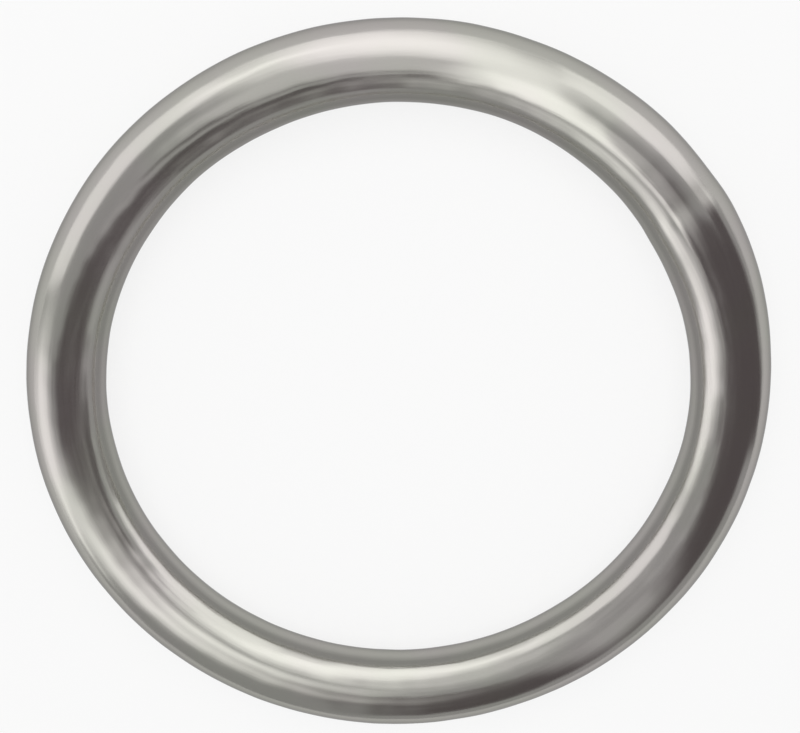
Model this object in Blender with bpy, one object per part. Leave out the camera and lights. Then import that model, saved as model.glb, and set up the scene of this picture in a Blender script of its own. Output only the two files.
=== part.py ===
"""A welded ring: one round bar bent into a full circle, its two ends butt-welded.

The ring lies flat. The origin is the centre of its eye, +Z is its axis, and the weld is on +X.
Metres, +Z up.
"""

import math

import bpy
from mathutils import Vector

# Sizes of the ring
BAR_DIAMETER = 0.008
INSIDE_DIAMETER = 0.060

# The butt weld: the ends were pressed together hot, which thickened the bar there,
# and the thickening was dressed to run out smoothly along the bar on both sides
WELD_SWELL = 0.0008  # what the weld adds to the bar's diameter
WELD_REACH = 0.024  # from the weld to where the bar is plain again, along the bar

# Facets
SEGMENTS_ALONG_RING = 120
SEGMENTS_AROUND_BAR = 24

# Colour and polish of the stainless steel
STEEL_COLOUR = (0.62, 0.60, 0.58, 1.0)
STEEL_ROUGHNESS = 0.14

RING_RADIUS = (INSIDE_DIAMETER + BAR_DIAMETER) / 2


def clear_scene():
    for old in list(bpy.data.objects):
        bpy.data.objects.remove(old, do_unlink=True)


def make_collection(name):
    collection = bpy.data.collections.new(name)
    bpy.context.scene.collection.children.link(collection)
    return collection


def polished_steel():
    material = bpy.data.materials.new("polished_stainless_steel")
    material.use_nodes = True
    shader = material.node_tree.nodes["Principled BSDF"]
    shader.inputs["Base Color"].default_value = STEEL_COLOUR
    shader.inputs["Metallic"].default_value = 1.0
    shader.inputs["Roughness"].default_value = STEEL_ROUGHNESS
    return material


def swell_at(distance):
    """What the weld adds to the bar's diameter, at a distance from it along the bar."""
    if distance >= WELD_REACH:
        return 0.0
    return WELD_SWELL * (1 + math.cos(math.pi * distance / WELD_REACH)) / 2


def upset_weld(mesh):
    """Thicken the bar round the weld, evenly on all its sides."""
    for vertex in mesh.vertices:
        angle = math.atan2(vertex.co.y, vertex.co.x)
        bar_centre = Vector((RING_RADIUS * math.cos(angle), RING_RADIUS * math.sin(angle), 0))
        diameter = BAR_DIAMETER + swell_at(RING_RADIUS * abs(angle))
        vertex.co = bar_centre + (vertex.co - bar_centre) * (diameter / BAR_DIAMETER)


def make_ring(collection):
    bpy.ops.mesh.primitive_torus_add(
        major_radius=RING_RADIUS,
        minor_radius=BAR_DIAMETER / 2,
        major_segments=SEGMENTS_ALONG_RING,
        minor_segments=SEGMENTS_AROUND_BAR,
    )
    ring = bpy.context.active_object
    ring.name = "ring"
    ring.data.name = "ring"
    for other in list(ring.users_collection):
        other.objects.unlink(ring)
    collection.objects.link(ring)

    upset_weld(ring.data)
    ring.data.shade_smooth()
    ring.data.materials.append(polished_steel())
    return ring


def main():
    clear_scene()
    make_ring(make_collection("welded_ring"))


if __name__ == "__main__":
    main()
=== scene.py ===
"""A polished welded ring: one round stainless bar, bent to a circle and butt-welded, on a pale floor.

The ring lies flat on the floor. Its axis is +Z and its weld is on +X.
"""

import math

import bmesh
import bpy
from bpy.props import FloatProperty, FloatVectorProperty, IntProperty, PointerProperty
from mathutils import Matrix, Vector


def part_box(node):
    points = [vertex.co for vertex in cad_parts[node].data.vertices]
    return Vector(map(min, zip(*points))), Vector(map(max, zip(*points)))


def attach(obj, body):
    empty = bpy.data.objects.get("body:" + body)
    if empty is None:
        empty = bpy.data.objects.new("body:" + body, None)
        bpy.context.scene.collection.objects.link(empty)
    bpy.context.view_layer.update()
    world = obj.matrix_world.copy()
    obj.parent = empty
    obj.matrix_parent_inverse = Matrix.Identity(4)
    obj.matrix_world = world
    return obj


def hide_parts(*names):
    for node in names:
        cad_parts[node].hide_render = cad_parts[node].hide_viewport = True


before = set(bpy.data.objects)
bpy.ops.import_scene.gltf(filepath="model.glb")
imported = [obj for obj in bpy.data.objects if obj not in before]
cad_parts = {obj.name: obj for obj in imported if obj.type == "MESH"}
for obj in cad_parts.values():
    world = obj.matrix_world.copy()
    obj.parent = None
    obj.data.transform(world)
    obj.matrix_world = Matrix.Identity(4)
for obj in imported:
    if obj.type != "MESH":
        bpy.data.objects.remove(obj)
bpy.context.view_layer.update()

bl_info = {
    "name": "Welded Ring",
    "version": (1, 0, 0),
    "blender": (4, 5, 0),
    "location": "View3D > Sidebar > Welded Ring",
    "description": "Models a polished welded ring and sets it on a lit studio floor",
    "category": "Add Mesh",
}

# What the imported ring's box says of its sizes: the plain bar spans the box along Y, and the weld,
# on +X, adds half its swell to the reach along X and all of it to the height
ring_low, ring_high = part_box("ring")
OUTSIDE_DIAMETER = ring_high.y - ring_low.y
WELD_SWELL = 2 * (ring_high.x - ring_low.x - OUTSIDE_DIAMETER)
BAR_DIAMETER = ring_high.z - ring_low.z - WELD_SWELL


class RingSizes(bpy.types.PropertyGroup):
    outside_diameter: FloatProperty(
        name="Outside diameter",
        description="Across the ring where the bar is plain",
        default=OUTSIDE_DIAMETER,
        unit="LENGTH",
    )
    bar_diameter: FloatProperty(
        name="Bar diameter",
        description="Thickness of the plain bar",
        default=BAR_DIAMETER,
        unit="LENGTH",
    )
    weld_swell: FloatProperty(
        name="Weld swell",
        description="What the weld adds to the bar's diameter",
        default=WELD_SWELL,
        unit="LENGTH",
    )
    weld_reach: FloatProperty(
        name="Weld reach",
        description="From the weld to where the bar is plain again, along the bar",
        default=0.024,
        unit="LENGTH",
    )
    step_depth: FloatProperty(
        name="Step depth",
        description="What dressing the weld took off the bar's diameter beside the weld",
        default=0.0002,
        unit="LENGTH",
    )
    step_length: FloatProperty(
        name="Step length",
        description="Length of the dressed step, along the bar",
        default=0.0025,
        unit="LENGTH",
    )
    step_reach: FloatProperty(
        name="Step reach",
        description="From the step to where the dressing has run out, along the bar",
        default=0.016,
        unit="LENGTH",
    )
    polish_depth: FloatProperty(
        name="Polish depth",
        description="How deep the shallow hollows are that buffing leaves in the bar",
        default=0.00014,
        unit="LENGTH",
    )
    polish_length: FloatProperty(
        name="Polish length",
        description="How far apart the shallow hollows of the buffing lie",
        default=0.008,
        unit="LENGTH",
    )
    steps_along: IntProperty(
        name="Steps along the ring", description="Facets round the ring", default=240, max=256
    )
    steps_around: IntProperty(
        name="Steps around the bar", description="Facets round the bar", default=48, max=256
    )


class SteelFinish(bpy.types.PropertyGroup):
    colour: FloatVectorProperty(
        name="Colour",
        description="Colour of the polished steel",
        subtype="COLOR",
        default=(0.42, 0.416, 0.38),
    )
    warm_colour: FloatVectorProperty(
        name="Warm colour",
        description="Colour of the faint warmer clouds in the steel",
        subtype="COLOR",
        default=(0.43, 0.409, 0.393),
    )
    roughness: FloatProperty(
        name="Roughness", description="Roughness of the buffed bar", default=0.18, subtype="FACTOR"
    )


class StageLook(bpy.types.PropertyGroup):
    floor_colour: FloatVectorProperty(
        name="Floor colour",
        description="Colour of the pale floor",
        subtype="COLOR",
        default=(0.9, 0.9, 0.9),
    )
    background: FloatProperty(
        name="Background",
        description="How far the floor is lifted to plain white where it is looked at",
        default=0.8,
        subtype="FACTOR",
    )
    weld_turn: FloatProperty(
        name="Weld turn",
        description="How far round from the right-hand side of the view the weld lies",
        default=math.radians(33),
        subtype="ANGLE",
    )
    lens: FloatProperty(
        name="Lens",
        description="Focal length of the camera in millimetres",
        default=72,
        unit="CAMERA",
    )


def turned(stage, x, y, z):
    """A place given with x to the right of the view and y up it, on the ring's own axes."""
    return Matrix.Rotation(-stage.weld_turn, 3, "Z") @ Vector((x, y, z))


def eased(share):
    """Runs smoothly from 0 to 1."""
    share = min(max(share, 0.0), 1.0)
    return (1 - math.cos(math.pi * share)) / 2


def swell_at(sizes, distance):
    """What the dressed weld adds to the bar's diameter, at a signed distance from it along the bar."""
    swell = sizes.weld_swell * eased(1 - abs(distance) / sizes.weld_reach)
    step = eased(distance / sizes.step_length)
    run_out = eased((distance - sizes.step_length) / sizes.step_reach)
    return swell - sizes.step_depth * (step - run_out)


def ring_radius(sizes):
    return (sizes.outside_diameter - sizes.bar_diameter) / 2


def bend_bar(sizes):
    bpy.ops.object.select_all(action="DESELECT")
    bpy.ops.mesh.primitive_torus_add(
        major_radius=ring_radius(sizes),
        minor_radius=sizes.bar_diameter / 2,
        major_segments=sizes.steps_along,
        minor_segments=sizes.steps_around,
    )
    ring = bpy.context.active_object
    ring.name = "polished_ring"
    return ring


def upset_weld(ring, sizes):
    """Thickens the bar round the weld, one loop of points at a time, each about its own centre."""
    radius = ring_radius(sizes)
    step_angle = 2 * math.pi / sizes.steps_along
    steps_each_way = math.floor(sizes.weld_reach / (radius * step_angle))

    bpy.ops.object.mode_set(mode="EDIT")
    for step in range(-steps_each_way, steps_each_way + 1):
        angle = step * step_angle
        bpy.ops.mesh.select_all(action="DESELECT")
        points = bmesh.from_edit_mesh(ring.data)
        for vertex in points.verts:
            across = -vertex.co.x * math.sin(angle) + vertex.co.y * math.cos(angle)
            if abs(across) < radius * step_angle / 4 and vertex.co.x > 0:
                vertex.select = True
        points.select_flush_mode()
        growth = 1 + swell_at(sizes, step * radius * step_angle) / sizes.bar_diameter
        centre = (radius * math.cos(angle), radius * math.sin(angle), 0)
        bpy.ops.transform.resize(value=(growth, growth, growth), center_override=centre)
    bpy.ops.object.mode_set(mode="OBJECT")


def round_bar(ring):
    """Halves the facets both ways, so that the bar's reflections run without a kink."""
    smoothing = ring.modifiers.new("smoothing", "SUBSURF")
    smoothing.levels = smoothing.render_levels = 1
    bpy.ops.object.modifier_apply(modifier=smoothing.name)


def buff_bar(ring, sizes):
    """Leaves the bar very slightly hollowed, as buffing by hand does."""
    hollows = bpy.data.textures.new("buffed_hollows", "CLOUDS")
    hollows.noise_scale = sizes.polish_length
    hollows.noise_depth = 2
    buffing = ring.modifiers.new("buffing", "DISPLACE")
    buffing.texture = hollows
    buffing.texture_coords = "LOCAL"
    buffing.strength = sizes.polish_depth
    bpy.ops.object.modifier_apply(modifier=buffing.name)
    bpy.ops.object.shade_smooth()


def node(tree, kind, **settings):
    made = tree.nodes.new(kind)
    for name, value in settings.items():
        setattr(made, name, value)
    return made


def math_node(tree, operation, first, second=None):
    """A Math node on one or two values, each of them a number or another node's output."""
    made = node(tree, "ShaderNodeMath", operation=operation)
    for socket, value in zip(made.inputs, (first, second)):
        if value is None:
            continue
        if isinstance(value, bpy.types.NodeSocket):
            tree.links.new(value, socket)
        else:
            socket.default_value = value
    return made.outputs[0]


# The buffing lines: their scale along the bar, how many times closer they lie round it, the range of
# the noise that changes the roughness, how far it changes it either way, and how deep they are
LINES_SCALE = 120.0
LINES_CLOSER = 18.0
LINES_DETAIL = 4.0
LINES_RANGE = (0.3, 0.7)
LINES_ROUGHNESS = 0.03
LINES_DEPTH = 0.00002
LINES_STRENGTH = 0.7
# The clouds of colour: their scale, and the range of the noise in which one colour turns into the other
CLOUDS_SCALE = 90.0
CLOUDS_DETAIL = 2.0
CLOUDS_RANGE = (0.4, 0.65)


def map_range(tree, value, start, end, low=0.0, high=1.0, **settings):
    """A value taken from the range start to end, to the range low to high."""
    made = node(tree, "ShaderNodeMapRange", **settings)
    made.inputs["From Min"].default_value = start
    made.inputs["From Max"].default_value = end
    made.inputs["To Min"].default_value = low
    made.inputs["To Max"].default_value = high
    tree.links.new(value, made.inputs["Value"])
    return made.outputs["Result"]


def polished_steel(finish, sizes):
    """Buffed stainless steel, with faint lines that run along the bar and faint clouds of colour."""
    material = bpy.data.materials.new("polished_stainless_steel")
    material.use_nodes = True
    tree = material.node_tree
    shader = tree.nodes["Principled BSDF"]
    shader.inputs["Metallic"].default_value = 1.0
    shader.inputs["Specular Tint"].default_value = (0.5, 0.5, 0.5, 1)

    place = node(tree, "ShaderNodeTexCoord")
    axes = node(tree, "ShaderNodeSeparateXYZ")
    tree.links.new(place.outputs["Object"], axes.inputs[0])
    x, y, z = axes.outputs

    # Where a point lies in the bar's round section: out from the bar's centre, and up
    x_squared = math_node(tree, "MULTIPLY", x, x)
    y_squared = math_node(tree, "MULTIPLY", y, y)
    from_axis = math_node(tree, "SQRT", math_node(tree, "ADD", x_squared, y_squared))
    outward = math_node(tree, "SUBTRACT", from_axis, ring_radius(sizes))

    # The buffing lines change fast round the section and slowly along the bar
    section = node(tree, "ShaderNodeCombineXYZ")
    tree.links.new(math_node(tree, "MULTIPLY", outward, LINES_CLOSER), section.inputs[0])
    tree.links.new(math_node(tree, "MULTIPLY", z, LINES_CLOSER), section.inputs[1])
    tree.links.new(x, section.inputs[2])
    lines = node(tree, "ShaderNodeTexNoise", noise_dimensions="4D")
    lines.inputs["Scale"].default_value = LINES_SCALE
    lines.inputs["Detail"].default_value = LINES_DETAIL
    tree.links.new(section.outputs[0], lines.inputs["Vector"])
    tree.links.new(y, lines.inputs["W"])

    smoothest = finish.roughness - LINES_ROUGHNESS
    roughest = finish.roughness + LINES_ROUGHNESS
    roughness = map_range(tree, lines.outputs["Fac"], *LINES_RANGE, smoothest, roughest)
    tree.links.new(roughness, shader.inputs["Roughness"])

    bump = node(tree, "ShaderNodeBump")
    bump.inputs["Strength"].default_value = LINES_STRENGTH
    bump.inputs["Distance"].default_value = LINES_DEPTH
    tree.links.new(lines.outputs["Fac"], bump.inputs["Height"])
    tree.links.new(bump.outputs["Normal"], shader.inputs["Normal"])

    clouds = node(tree, "ShaderNodeTexNoise")
    clouds.inputs["Scale"].default_value = CLOUDS_SCALE
    clouds.inputs["Detail"].default_value = CLOUDS_DETAIL
    tree.links.new(place.outputs["Object"], clouds.inputs["Vector"])
    tint = node(tree, "ShaderNodeMix", data_type="RGBA")
    tint.inputs["A"].default_value = (*finish.colour, 1)
    tint.inputs["B"].default_value = (*finish.warm_colour, 1)
    tree.links.new(map_range(tree, clouds.outputs["Fac"], *CLOUDS_RANGE), tint.inputs["Factor"])
    tree.links.new(tint.outputs["Result"], shader.inputs["Base Color"])
    return material


class OBJECT_OT_model_welded_ring(bpy.types.Operator):
    """Models the welded ring in polished steel"""

    bl_idname = "object.model_welded_ring"
    bl_label = "Welded Ring"

    def execute(self, context):
        sizes = context.scene.welded_ring_sizes
        ring = bend_bar(sizes)
        upset_weld(ring, sizes)
        round_bar(ring)
        buff_bar(ring, sizes)
        ring.data.materials.clear()
        ring.data.materials.append(polished_steel(context.scene.welded_ring_finish, sizes))
        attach(ring, "root")
        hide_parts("ring")
        return {"FINISHED"}


def facing_ring(stage, azimuth, elevation, roll, distance):
    """Where a lamp or card stands, and its turn so that it looks at the ring. Angles in degrees."""
    azimuth, elevation = math.radians(azimuth), math.radians(elevation)
    away = turned(
        stage,
        math.cos(elevation) * math.cos(azimuth),
        math.cos(elevation) * math.sin(azimuth),
        math.sin(elevation),
    )
    turn = away.to_track_quat("Z", "Y").to_matrix().to_4x4()
    return (
        Matrix.Translation(away * distance) @ turn @ Matrix.Rotation(math.radians(roll), 4, "Z")
    )


# Cards that the steel mirrors, in degrees and metres: name, azimuth, elevation, roll, distance, width,
# height, brightness, and the share of the half-width over which the edges fade
CARDS = (
    ("right_flag", 275, 50, 15, 0.6, 2.2, 0.8, 0.16, 0.1),
    ("edge_flag", 5, 15, 10, 0.065, 0.065, 0.02, 0.16, 0.3),
    ("bottom_flag", 230, 15, 10, 0.35, 0.65, 0.75, 0.5, 0.4),
    ("top_flag", 95, 75, -45, 0.1, 0.14, 0.07, 1.0, 0.5),
    ("top_box", 90, 25, -50, 0.1, 0.3, 0.2, 2.0, 1.0),
    ("lower_left_box", 230, 40, 40, 0.08, 0.14, 0.05, 1.8, 1.0),
    ("left_box", 150, 15, 5, 0.35, 0.4, 0.35, 1.5, 0.3),
    ("low_left_box", 200, 15, -5, 0.125, 0.13, 0.13, 1.7, 0.9),
    ("upper_right_box", 40, 10, 10, 0.6, 0.4, 0.85, 1.6, 0.2),
    ("overhead_strip", 50, 60, 30, 0.04, 0.02, 0.085, 2.1, 0.7),
    ("lower_strip", 240, 40, -55, 0.04, 0.03, 0.045, 1.9, 1.0),
    ("centre_strip", 195, 80, -30, 0.075, 0.012, 0.09, 0.7, 0.4),
    ("right_strip", 305, 35, 15, 0.05, 0.025, 0.055, 0.7, 0.8),
    ("inner_strip", 355, 40, 0, 0.02, 0.02, 0.02, 1.7, 0.3),
    ("crest_strip", 105, 25, -5, 0.2, 0.25, 0.045, 3.0, 1.0),
    ("left_crest_strip", 205, 15, -5, 0.15, 0.14, 0.035, 3.0, 1.0),
)
# A round grey card that lies in the ring's eye and stands for the floor's shade round the foot of the bar:
# painted shade, which the inner side of the steel mirrors. How far above the floor, then width, height,
# brightness and fade
PAINTED_EYE_SHADE_GAP = 0.0002
PAINTED_EYE_SHADE = (0.06, 0.06, 0.5, 0.4)
# The cards less bright than this are the dark ones, whose grey is faintly rosy
DARK_CARD = 0.4
DARK_CARD_COLOUR = (1.0, 0.88, 0.91)

# The lamp that lights the floor: azimuth, elevation, roll and distance, then its side and its brightness
KEY_PLACE = (100, 65, 0, 0.6)
KEY_SIDE = 0.5
KEY_BRIGHTNESS = 2.0
WORLD_BRIGHTNESS = 0.55
FLOOR_RADIUS = 2.5

# Where the camera stands, and its own right and up, with x to the right of the view and y up it
CAMERA_PLACE = (-0.0031, 0.0554, 0.1545)
CAMERA_RIGHT = (0.9998, 0.0, 0.0201)
CAMERA_UP = (0.0064, 0.947, -0.3212)


def add_key_light(stage):
    """A square soft lamp for the floor, which the steel doesn't mirror."""
    light = bpy.data.lights.new("key_light", "AREA")
    light.size = KEY_SIDE
    light.energy = KEY_BRIGHTNESS * math.pi * KEY_SIDE**2
    lamp = bpy.data.objects.new("key_light", light)
    bpy.context.scene.collection.objects.link(lamp)
    lamp.matrix_world = facing_ring(stage, *KEY_PLACE)
    lamp.visible_camera = False
    lamp.visible_glossy = False


def card_cover(tree, softness, is_round):
    """1 on the middle of a unit plane's lower side, running out smoothly to 0 at its edge."""
    edge = 0.5
    place = node(tree, "ShaderNodeTexCoord").outputs["Object"]
    if is_round:
        reach = node(tree, "ShaderNodeVectorMath", operation="LENGTH")
        tree.links.new(place, reach.inputs[0])
        reaches = [reach.outputs["Value"]]
    else:
        axes = node(tree, "ShaderNodeSeparateXYZ")
        tree.links.new(place, axes.inputs[0])
        reaches = [math_node(tree, "ABSOLUTE", axis) for axis in axes.outputs[:2]]

    cover = node(tree, "ShaderNodeNewGeometry").outputs["Backfacing"]
    for reach in reaches:
        fade = map_range(tree, reach, edge, edge * (1 - softness), interpolation_type="SMOOTHSTEP")
        cover = math_node(tree, "MULTIPLY", cover, fade)
    return cover


def add_card(name, place, width, height, brightness, softness, is_round=False):
    """A flat soft-edged card, light or dark, seen only by the steel and only on the side towards it."""
    bpy.ops.mesh.primitive_plane_add(size=1)
    card = bpy.context.active_object
    card.name = name
    card.matrix_world = place @ Matrix.Diagonal((width, height, 1, 1))
    material = bpy.data.materials.new(name)
    material.use_nodes = True
    tree = material.node_tree
    tree.nodes.clear()
    clear = node(tree, "ShaderNodeBsdfTransparent")
    glow = node(tree, "ShaderNodeEmission")
    glow.inputs["Strength"].default_value = brightness
    if brightness < DARK_CARD:
        glow.inputs["Color"].default_value = (*DARK_CARD_COLOUR, 1)
    blend = node(tree, "ShaderNodeMixShader")
    tree.links.new(card_cover(tree, softness, is_round), blend.inputs[0])
    tree.links.new(clear.outputs[0], blend.inputs[1])
    tree.links.new(glow.outputs[0], blend.inputs[2])
    output = node(tree, "ShaderNodeOutputMaterial")
    tree.links.new(blend.outputs[0], output.inputs["Surface"])
    card.data.materials.append(material)
    card.visible_camera = False
    card.visible_shadow = False
    card.visible_diffuse = False


def add_floor(stage):
    bpy.ops.mesh.primitive_circle_add(
        vertices=96, radius=FLOOR_RADIUS, fill_type="NGON", location=(0, 0, ring_low.z)
    )
    floor = bpy.context.active_object
    floor.name = "floor"
    material = bpy.data.materials.new("pale_floor")
    material.use_nodes = True
    tree = material.node_tree
    tree.nodes.clear()
    paint = node(tree, "ShaderNodeBsdfDiffuse")
    paint.inputs["Color"].default_value = (*stage.floor_colour, 1)
    white = node(tree, "ShaderNodeEmission")
    blend = node(tree, "ShaderNodeMixShader")
    lift = math_node(tree, "MULTIPLY", seen_directly(tree), stage.background)
    tree.links.new(lift, blend.inputs[0])
    tree.links.new(paint.outputs[0], blend.inputs[1])
    tree.links.new(white.outputs[0], blend.inputs[2])
    output = node(tree, "ShaderNodeOutputMaterial")
    tree.links.new(blend.outputs[0], output.inputs["Surface"])
    floor.data.materials.append(material)


def seen_directly(tree):
    """1 where the camera, a mirrored ray or a ray through glass looks, 0 for the rays that light things."""
    path = node(tree, "ShaderNodeLightPath")
    seen = math_node(
        tree, "MAXIMUM", path.outputs["Is Camera Ray"], path.outputs["Is Glossy Ray"]
    )
    return math_node(tree, "MAXIMUM", seen, path.outputs["Is Transmission Ray"])


def light_world():
    world = bpy.data.worlds.new("studio")
    bpy.context.scene.world = world
    world.use_nodes = True
    background = world.node_tree.nodes["Background"]
    background.inputs["Color"].default_value = (1, 1, 1, 1)
    background.inputs["Strength"].default_value = WORLD_BRIGHTNESS


def aim_camera(stage):
    camera = bpy.data.objects.new("camera", bpy.data.cameras.new("camera"))
    bpy.context.scene.collection.objects.link(camera)
    bpy.context.scene.camera = camera
    camera.data.lens = stage.lens
    camera.data.clip_start = 0.01
    right = turned(stage, *CAMERA_RIGHT)
    up = turned(stage, *CAMERA_UP)
    turn = Matrix((right, up, right.cross(up))).transposed().to_4x4()
    camera.matrix_world = Matrix.Translation(turned(stage, *CAMERA_PLACE)) @ turn


class OBJECT_OT_stage_welded_ring(bpy.types.Operator):
    """Lays the pale floor and sets up the studio and the camera"""

    bl_idname = "object.stage_welded_ring"
    bl_label = "Ring Studio"

    def execute(self, context):
        stage = context.scene.welded_ring_stage
        bpy.ops.object.select_all(action="DESELECT")
        add_floor(stage)
        for name, azimuth, elevation, roll, distance, *card in CARDS:
            add_card(name, facing_ring(stage, azimuth, elevation, roll, distance), *card)
        # The grey card in the eye is painted shade: it stands for the floor's shade beside the bar, as the
        # steel mirrors it
        in_the_eye = facing_ring(stage, 0, -90, 0, -ring_low.z - PAINTED_EYE_SHADE_GAP)
        add_card("painted_eye_shade", in_the_eye, *PAINTED_EYE_SHADE, is_round=True)
        add_key_light(stage)
        light_world()
        aim_camera(stage)
        return {"FINISHED"}


class VIEW3D_PT_welded_ring(bpy.types.Panel):
    bl_label = "Welded Ring"
    bl_space_type = "VIEW_3D"
    bl_region_type = "UI"
    bl_category = "Welded Ring"

    def draw(self, context):
        scene = context.scene
        for group in (scene.welded_ring_sizes, scene.welded_ring_finish, scene.welded_ring_stage):
            for name in group.__annotations__:
                self.layout.prop(group, name)
        self.layout.operator(OBJECT_OT_model_welded_ring.bl_idname)
        self.layout.operator(OBJECT_OT_stage_welded_ring.bl_idname)


CLASSES = (
    RingSizes,
    SteelFinish,
    StageLook,
    OBJECT_OT_model_welded_ring,
    OBJECT_OT_stage_welded_ring,
    VIEW3D_PT_welded_ring,
)


def register():
    for cls in CLASSES:
        bpy.utils.register_class(cls)
    bpy.types.Scene.welded_ring_sizes = PointerProperty(type=RingSizes)
    bpy.types.Scene.welded_ring_finish = PointerProperty(type=SteelFinish)
    bpy.types.Scene.welded_ring_stage = PointerProperty(type=StageLook)


def unregister():
    del bpy.types.Scene.welded_ring_stage
    del bpy.types.Scene.welded_ring_finish
    del bpy.types.Scene.welded_ring_sizes
    for cls in reversed(CLASSES):
        bpy.utils.unregister_class(cls)


def main():
    register()
    bpy.context.scene.view_settings.view_transform = "Standard"
    bpy.ops.object.model_welded_ring()
    bpy.ops.object.stage_welded_ring()


if __name__ == "__main__":
    main()
